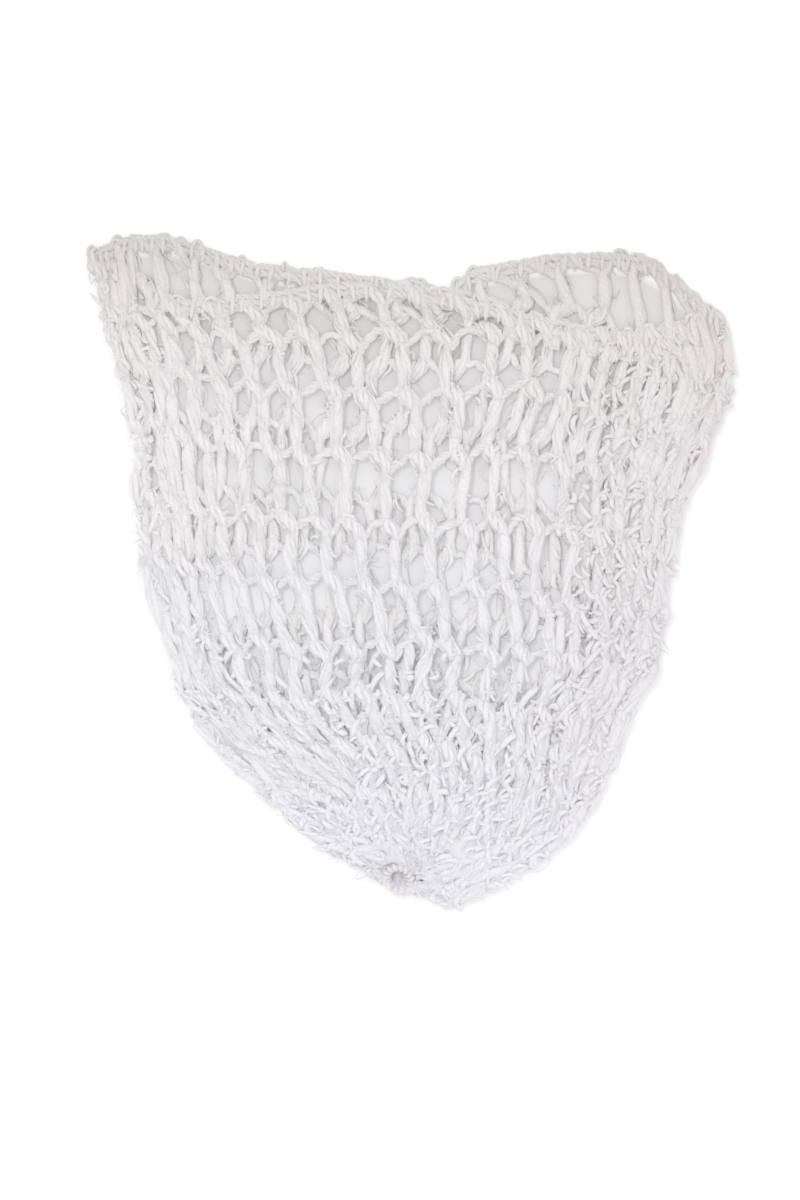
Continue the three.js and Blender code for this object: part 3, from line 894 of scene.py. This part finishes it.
def cotton_colour(finish, where, ply, tones):
    """The tones from the start ring's end to the mouth, with their painted light and shade; painted shade,
    rosy, to the right; painted light on the under layer; painted shade in the ply furrows; darker
    random patches; and painted shade inside the start ring."""
    place_of = finish.split(where)
    # the ramp carries painted light near the start ring and painted shade that deepens towards the mouth
    ramp = finish.add("ShaderNodeValToRGB", {"Fac": finish.spread(place_of["Y"], *BAG_ENDS)})
    for k, (at, *colour) in enumerate(tones):
        stop = ramp.color_ramp.elements[k] if k < 2 else ramp.color_ramp.elements.new(at)
        stop.position = at
        stop.color = (*colour, 1)
    # painted shade, rosy, towards the right
    colour = finish.mix(ramp.outputs[0], ROSY_RIGHT_SHADE, finish.spread(place_of["X"], *RIGHT_SHADE_FROM), "MULTIPLY")
    # painted light on the under layer near the table
    under = finish.maths("MULTIPLY", finish.spread(place_of["Z"], *PAINTED_LIGHT_HEIGHTS),
                         finish.spread(place_of["Y"], *PAINTED_LIGHT_REACH))
    colour = finish.mix(colour, UNDER_LAYER_PAINTED_LIGHT, under)
    # painted shade in the ply furrows, and darker random patches
    ply_light_and_patch_tone = finish.maths("ADD", finish.maths("MULTIPLY", ply, PLY_LIGHT),
                          finish.maths("MULTIPLY", finish.noise(where, PATCH_SCALE), PATCH_LIGHT))
    colour = finish.mix(finish.mix(colour, FURROW_SHADE_AND_PATCH_TONE, 1, "MULTIPLY"), colour, ply_light_and_patch_tone)
    from_ring = finish.add("ShaderNodeVectorMath", operation="DISTANCE")
    from_ring.inputs[1].default_value = ((RING_CENTRE + SHIFT) * MM).tolist()
    finish.feed(from_ring.inputs[0], where)
    # painted shade inside the start ring
    near = finish.spread(from_ring.outputs["Value"], *RING_SHADE_WITHIN)
    return finish.mix(colour, RING_HOLE_PAINTED_SHADE, near, "MULTIPLY")


def cotton(name, tones):
    """Loosely spun cotton: a rough shader with a soft sheen, where light goes a little way in,
    and a part of it right through."""
    finish = Finish(name)
    shader = finish.shader
    shader.inputs["Roughness"].default_value = 0.92
    shader.inputs["Sheen Weight"].default_value = 0.25
    shader.inputs["Sheen Roughness"].default_value = 0.6
    shader.inputs["Specular IOR Level"].default_value = 0.2
    shader.inputs["Subsurface Weight"].default_value = 0.35
    shader.inputs["Subsurface Radius"].default_value = (1, 0.9, 0.85)
    shader.inputs["Subsurface Scale"].default_value = 0.0012
    where = finish.add("ShaderNodeTexCoord").outputs["Object"]
    ply = ply_height(finish)
    bump = cotton_bump(finish, where, ply)
    colour = cotton_colour(finish, where, ply, tones)
    finish.feed(shader.inputs["Normal"], bump)
    finish.feed(shader.inputs["Base Color"], colour)
    through = finish.add("ShaderNodeBsdfTranslucent", {"Normal": bump, "Color": colour})
    both = finish.add("ShaderNodeMixShader", {"Fac": THROUGH})
    finish.feed(both.inputs[1], shader.outputs[0])
    finish.feed(both.inputs[2], through.outputs[0])
    finish.feed(finish.nodes["Material Output"].inputs["Surface"], both.outputs[0])
    return finish.material


# ---- table, light and camera ----
OUTLINE_STEPS = 96        # places on each side of the bag's outline
SHADED = 0.9, 0.965       # the table has full painted shade at these parts of the outline's reach
CLEAR = 0.99              # and clear of it here
TABLE_REACH = 3.0         # metres
TABLE_TONE = 0.92
SHADE = np.array([0.84, 0.84, 0.88])        # its painted shade under the bag,
MOUTH_SHADE = np.array([0.5, 0.49, 0.475])  # and at the mouth
SHADE_DEEPENS = -0.03, 0.115      # metres up the table
FRAME_TALL = 480.0        # millimetres of table seen, top to bottom
VIEW_CENTRE = -3.6, -11.4 # the place on the table that is looked at
CAMERA_HIGH = 2400.0
SENSOR = 36               # millimetres


def bag_outline():
    """The bag's outline on the table, in metres: down the left fold, up the right one and back
    along the rim."""
    part = np.linspace(0, 1, OUTLINE_STEPS, endpoint=False)
    left = net_point(np.zeros(OUTLINE_STEPS), ROUNDS * (1 - part))
    right = net_point(np.full(OUTLINE_STEPS, 0.5), ROUNDS * part)
    rim = net_point(0.5 + part / 2, np.full(OUTLINE_STEPS, float(ROUNDS)))
    return (np.concatenate([left, right, rim])[:, :2] + SHIFT[:2]) * MM


def table_tone(flat, around):
    """Each place's colour: the bag's soft painted shade at the middle and in the rings inside the
    outline, deeper towards the mouth, and the table's own tone in the two rings outside."""
    shaded = np.concatenate([[1], np.ones(2 * around), np.zeros(2 * around)])[:, None]
    deep = smooth_step(*SHADE_DEEPENS, flat[:, 1:])
    shade = SHADE * (1 - deep) + MOUTH_SHADE * deep
    return np.hstack([TABLE_TONE + shaded * (shade - TABLE_TONE), np.ones_like(shaded)])


def table():
    """A flat top in rings about the middle of the bag's outline: the outline drawn in to three
    parts of its reach, and a far circle."""
    outline = bag_outline()
    around = len(outline)
    middle = outline.mean(0)
    rings = [middle + (outline - middle) * part for part in (*SHADED, CLEAR)]
    angle = np.arctan2(*(outline - middle).T[::-1])[:, None]
    rings.append(TABLE_REACH * np.hstack([np.cos(angle), np.sin(angle)]))
    flat = np.concatenate([middle[None], *rings])
    vertices = np.hstack([flat, np.zeros((len(flat), 1))])
    k = np.arange(around)
    after = (k + 1) % around
    faces = list(zip(np.zeros_like(k), 1 + k, 1 + after))
    for start in 1 + around * np.arange(len(rings) - 1):
        faces += list(zip(start + k, start + around + k, start + around + after, start + after))
    mesh = bpy.data.meshes.new("table_top")
    mesh.from_pydata(vertices.tolist(), [], [tuple(map(int, face)) for face in faces])
    # the table's tone with the bag's painted shade
    shade = mesh.color_attributes.new("shade", "FLOAT_COLOR", "POINT")
    shade.data.foreach_set("color", table_tone(flat, around).ravel())
    finish = Finish("pale_table")
    finish.shader.inputs["Roughness"].default_value = 0.9
    finish.shader.inputs["Specular IOR Level"].default_value = 0.1
    tone = finish.add("ShaderNodeAttribute", attribute_name="shade")
    finish.feed(finish.shader.inputs["Base Color"], tone.outputs["Color"])
    mesh.materials.append(finish.material)
    top = bpy.data.objects.new("table_top", mesh)
    bpy.context.scene.collection.objects.link(top)


def soft_box(name, position, size, power, colour):
    """A square lamp that faces the bag's middle."""
    light = bpy.data.lights.new(name, "AREA")
    light.shape = "SQUARE"
    light.size = size
    light.energy = power
    light.color = colour
    lamp = bpy.data.objects.new(name, light)
    lamp.location = position
    lamp.rotation_euler = (-Vector(position)).to_track_quat("-Z", "Y").to_euler()
    bpy.context.scene.collection.objects.link(lamp)


def studio():
    """A pale, bright room with one soft lamp high on the left."""
    world = bpy.data.worlds.new("pale_room")
    world.use_nodes = True
    background = world.node_tree.nodes["Background"]
    background.inputs["Color"].default_value = (0.975, 0.97, 1, 1)
    background.inputs["Strength"].default_value = 1.12
    bpy.context.scene.world = world
    soft_box("key_light", position=(-0.5, 0.4, 2.1), size=0.35, power=12, colour=(1, 0.955, 0.91))
    view = bpy.context.scene.view_settings
    view.view_transform = "Standard"
    view.exposure = -0.05
    view.gamma = 2.1


def camera():
    """Straight above, far off with a long lens: lens = sensor x distance / height seen."""
    data = bpy.data.cameras.new("overhead")
    data.lens = SENSOR * CAMERA_HIGH / FRAME_TALL
    data.clip_end = 20
    eye = bpy.data.objects.new("overhead", data)
    eye.location = (np.array([*VIEW_CENTRE, CAMERA_HIGH]) + SHIFT) * MM
    bpy.context.scene.collection.objects.link(eye)
    bpy.context.scene.camera = eye


# ---- the whole snood ----
FLUFF_PIECES = ("net_fluff_low", range(1, 7)), ("net_fluff_high", range(7, ROUNDS + 1))
FLUFF_SEED = 50           # added to a round's number
RIM_SEED = 99


def net_round(number):
    """All the stitches, chains and curls of one round."""
    rng = np.random.default_rng([SEED, number])
    made = [*upright_stitches(number, rng), *chain_round(number, rng), stitch_heads(number, rng),
            *upright_stitches(number, rng, between=True)]
    if number <= HALF_CHAINS:
        made += chain_round(number, rng, below=0.5)
    return [*made, filling_curls(number, rng), stitch_curls(number, rng)]


def net_fluff(number):
    """The loose fibres of one round."""
    return loose_fibres(number, np.random.default_rng([SEED, FLUFF_SEED + number]))


camera()
table()
studio()

net_cotton = cotton("net_cotton", NET_TONES_WITH_PAINTED_SHADE)
# the rim is the same cotton, drawn darker by painted shade
rim_cotton = cotton("rim_cotton", [(at, *(RIM_PAINTED_SHADE * c for c in colour)) for at, *colour in NET_TONES_WITH_PAINTED_SHADE])
ring_cotton = cotton("ring_cotton", [(0, *RING_TONE), (1, *RING_TONE)])

for number in range(1, ROUNDS + 1):
    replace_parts(yarn_piece(f"net_round_{number:02d}", net_round(number), net_cotton), "net_bag")
for name, rounds in FLUFF_PIECES:
    fluff = [net_fluff(number) for number in rounds]
    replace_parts(yarn_piece(name, fluff, net_cotton), "net_bag")
edging = rim_edging(np.random.default_rng([SEED, RIM_SEED]))
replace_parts(yarn_piece("rim_edging", edging, rim_cotton), "rim_band")
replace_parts(yarn_piece("start_ring", start_ring(), ring_cotton), "crown_ring")
